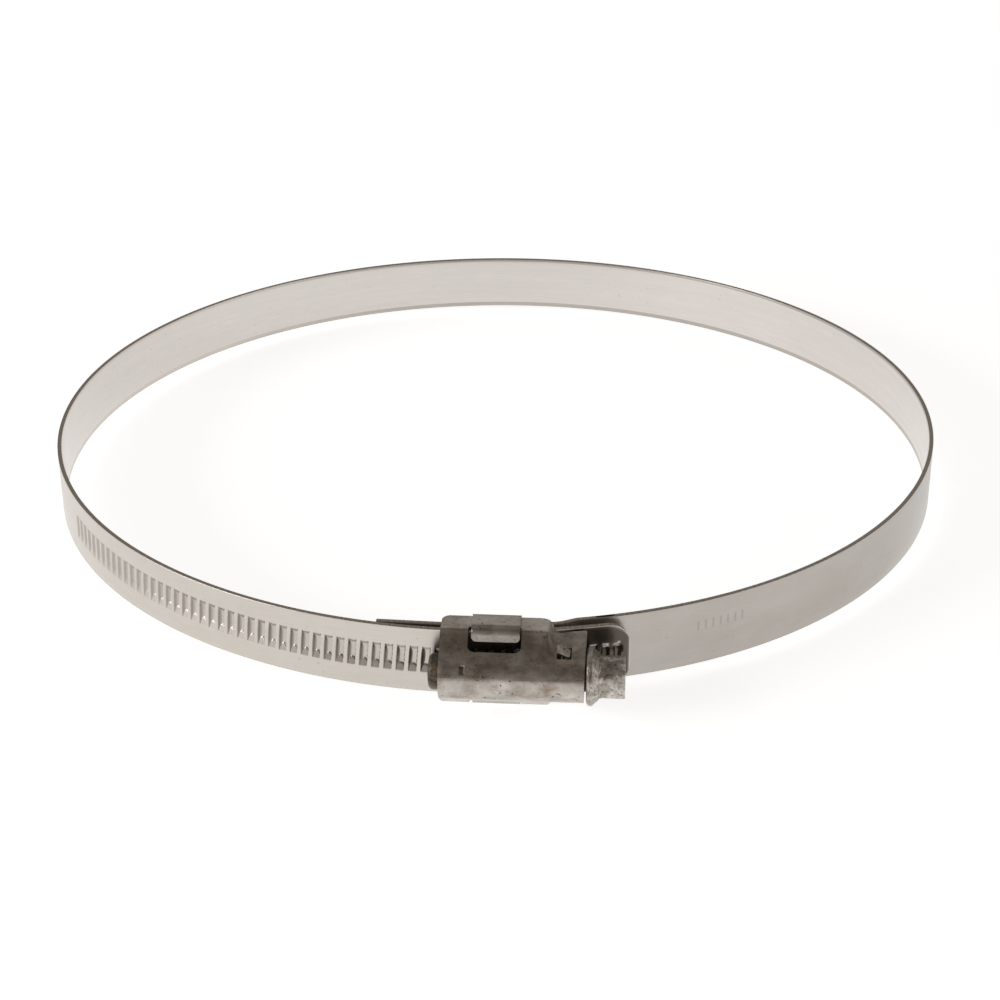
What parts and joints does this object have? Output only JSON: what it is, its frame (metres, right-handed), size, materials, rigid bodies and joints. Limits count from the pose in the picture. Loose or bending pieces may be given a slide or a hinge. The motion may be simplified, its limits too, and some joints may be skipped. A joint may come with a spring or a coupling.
{
  "type": "hose clamp",
  "caption": "Worm-drive hose clamp: a steel strip with pressed thread grooves, closed to a ring by a slotted hexagon screw in a formed housing.",
  "frame": {"origin": "on the axis of the ring, at the middle of the strip's width", "axes": "+Z along the hose, -Y towards the screw housing, +X towards the screw's head"},
  "size_m": [0.174, 0.1828, 0.0154],
  "materials": {
    "band_steel": "satin",
    "housing_steel": "satin, lightly stained",
    "screw_steel": "zinc plated, worn"
  },
  "bodies": {
    "clamp_body": {"housing": "housing_steel", "saddle": "housing_steel", "band_fixed_end": "band_steel"},
    "screw": {"screw": "screw_steel"},
    "threaded_end": {"band_threaded_end": "band_steel"},
    "link_01": {"band_link_01": "band_steel"},
    "link_02": {"band_link_02": "band_steel"},
    "link_03": {"band_link_03": "band_steel"},
    "link_04": {"band_link_04": "band_steel"},
    "link_05": {"band_link_05": "band_steel"},
    "link_06": {"band_link_06": "band_steel"},
    "link_07": {"band_link_07": "band_steel"},
    "link_08": {"band_link_08": "band_steel"},
    "link_09": {"band_link_09": "band_steel"},
    "link_10": {"band_link_10": "band_steel"},
    "link_11": {"band_link_11": "band_steel"},
    "link_12": {"band_link_12": "band_steel"},
    "link_13": {"band_link_13": "band_steel"},
    "link_14": {"band_link_14": "band_steel"},
    "link_15": {"band_link_15": "band_steel"},
    "link_16": {"band_link_16": "band_steel"},
    "link_17": {"band_link_17": "band_steel"},
    "link_18": {"band_link_18": "band_steel"},
    "link_19": {"band_link_19": "band_steel"},
    "link_20": {"band_link_20": "band_steel"},
    "link_21": {"band_link_21": "band_steel"}
  },
  "joints": [
    {"name": "screw_turn", "type": "hinge", "parent": "clamp_body", "child": "screw", "pos_m": [0, -0.0914, 0], "axis": [-1, 0, 0], "range_deg": [0, 10800]},
    {"name": "band_feed", "type": "hinge", "parent": "clamp_body", "child": "threaded_end", "pos_m": [0, 0, 0], "axis": [0, 0, 1], "range_deg": [0, 41.24]},
    {"name": "band_flex_21", "type": "hinge", "parent": "threaded_end", "child": "link_21", "pos_m": [-0.06962, -0.05309, 0], "axis": [0, 0, 1], "range_deg": [-4.08, 0]},
    {"name": "band_flex_20", "type": "hinge", "parent": "link_21", "child": "link_20", "pos_m": [-0.07998, -0.03561, 0], "axis": [0, 0, 1], "range_deg": [-3.37, 0]},
    {"name": "band_flex_19", "type": "hinge", "parent": "link_20", "child": "link_19", "pos_m": [-0.08609, -0.01573, 0], "axis": [0, 0, 1], "range_deg": [-2.69, 0]},
    {"name": "band_flex_18", "type": "hinge", "parent": "link_19", "child": "link_18", "pos_m": [-0.08726, 0.00504, 0], "axis": [0, 0, 1], "range_deg": [-2.09, 0]},
    {"name": "band_flex_17", "type": "hinge", "parent": "link_18", "child": "link_17", "pos_m": [-0.08343, 0.02548, 0], "axis": [0, 0, 1], "range_deg": [-1.63, 0]},
    {"name": "band_flex_16", "type": "hinge", "parent": "link_17", "child": "link_16", "pos_m": [-0.07482, 0.04441, 0], "axis": [0, 0, 1], "range_deg": [-1.32, 0]},
    {"name": "band_flex_15", "type": "hinge", "parent": "link_16", "child": "link_15", "pos_m": [-0.06192, 0.06073, 0], "axis": [0, 0, 1], "range_deg": [-1.17, 0]},
    {"name": "band_flex_14", "type": "hinge", "parent": "link_15", "child": "link_14", "pos_m": [-0.0455, 0.07349, 0], "axis": [0, 0, 1], "range_deg": [-1.16, 0]},
    {"name": "band_flex_13", "type": "hinge", "parent": "link_14", "child": "link_13", "pos_m": [-0.0265, 0.08195, 0], "axis": [0, 0, 1], "range_deg": [-1.28, 0]},
    {"name": "band_flex_12", "type": "hinge", "parent": "link_13", "child": "link_12", "pos_m": [-0.00603, 0.08562, 0], "axis": [0, 0, 1], "range_deg": [-1.47, 0]},
    {"name": "band_flex_11", "type": "hinge", "parent": "link_12", "child": "link_11", "pos_m": [0.01473, 0.08428, 0], "axis": [0, 0, 1], "range_deg": [-1.7, 0]},
    {"name": "band_flex_10", "type": "hinge", "parent": "link_11", "child": "link_10", "pos_m": [0.03456, 0.07801, 0], "axis": [0, 0, 1], "range_deg": [-1.92, 0]},
    {"name": "band_flex_09", "type": "hinge", "parent": "link_10", "child": "link_09", "pos_m": [0.05232, 0.06718, 0], "axis": [0, 0, 1], "range_deg": [-2.1, 0]},
    {"name": "band_flex_08", "type": "hinge", "parent": "link_09", "child": "link_08", "pos_m": [0.06696, 0.05242, 0], "axis": [0, 0, 1], "range_deg": [-2.22, 0]},
    {"name": "band_flex_07", "type": "hinge", "parent": "link_08", "child": "link_07", "pos_m": [0.07765, 0.03457, 0], "axis": [0, 0, 1], "range_deg": [-2.26, 0]},
    {"name": "band_flex_06", "type": "hinge", "parent": "link_07", "child": "link_06", "pos_m": [0.08376, 0.01445, 0], "axis": [0, 0, 1], "range_deg": [-2.23, 0]},
    {"name": "band_flex_05", "type": "hinge", "parent": "link_06", "child": "link_05", "pos_m": [0.08475, -0.00656, 0], "axis": [0, 0, 1], "range_deg": [-2.15, 0]},
    {"name": "band_flex_04", "type": "hinge", "parent": "link_05", "child": "link_04", "pos_m": [0.08054, -0.02717, 0], "axis": [0, 0, 1], "range_deg": [-2.03, 0]},
    {"name": "band_flex_03", "type": "hinge", "parent": "link_04", "child": "link_03", "pos_m": [0.0714, -0.04612, 0], "axis": [0, 0, 1], "range_deg": [-1.89, 0]},
    {"name": "band_flex_02", "type": "hinge", "parent": "link_03", "child": "link_02", "pos_m": [0.05789, -0.06224, 0], "axis": [0, 0, 1], "range_deg": [-1.74, 0]},
    {"name": "band_flex_01", "type": "hinge", "parent": "link_02", "child": "link_01", "pos_m": [0.04084, -0.07455, 0], "axis": [0, 0, 1], "range_deg": [-1.59, 0]}
  ],
  "couplings": [
    {"joint": "band_feed", "follows": "screw_turn", "ratio": 0.0038002},
    {"joint": "band_flex_21", "follows": "screw_turn", "ratio": -0.00037336},
    {"joint": "band_flex_20", "follows": "screw_turn", "ratio": -0.00030708},
    {"joint": "band_flex_19", "follows": "screw_turn", "ratio": -0.00024426},
    {"joint": "band_flex_18", "follows": "screw_turn", "ratio": -0.00018935},
    {"joint": "band_flex_17", "follows": "screw_turn", "ratio": -0.00014625},
    {"joint": "band_flex_16", "follows": "screw_turn", "ratio": -0.00011738},
    {"joint": "band_flex_15", "follows": "screw_turn", "ratio": -0.00010334},
    {"joint": "band_flex_14", "follows": "screw_turn", "ratio": -0.00010294},
    {"joint": "band_flex_13", "follows": "screw_turn", "ratio": -0.00011351},
    {"joint": "band_flex_12", "follows": "screw_turn", "ratio": -0.0001314},
    {"joint": "band_flex_11", "follows": "screw_turn", "ratio": -0.00015254},
    {"joint": "band_flex_10", "follows": "screw_turn", "ratio": -0.00017304},
    {"joint": "band_flex_09", "follows": "screw_turn", "ratio": -0.00018974},
    {"joint": "band_flex_08", "follows": "screw_turn", "ratio": -0.00020054},
    {"joint": "band_flex_07", "follows": "screw_turn", "ratio": -0.00020461},
    {"joint": "band_flex_06", "follows": "screw_turn", "ratio": -0.00020226},
    {"joint": "band_flex_05", "follows": "screw_turn", "ratio": -0.0001947},
    {"joint": "band_flex_04", "follows": "screw_turn", "ratio": -0.00018358},
    {"joint": "band_flex_03", "follows": "screw_turn", "ratio": -0.00017054},
    {"joint": "band_flex_02", "follows": "screw_turn", "ratio": -0.0001568},
    {"joint": "band_flex_01", "follows": "screw_turn", "ratio": -0.00014297}
  ]
}
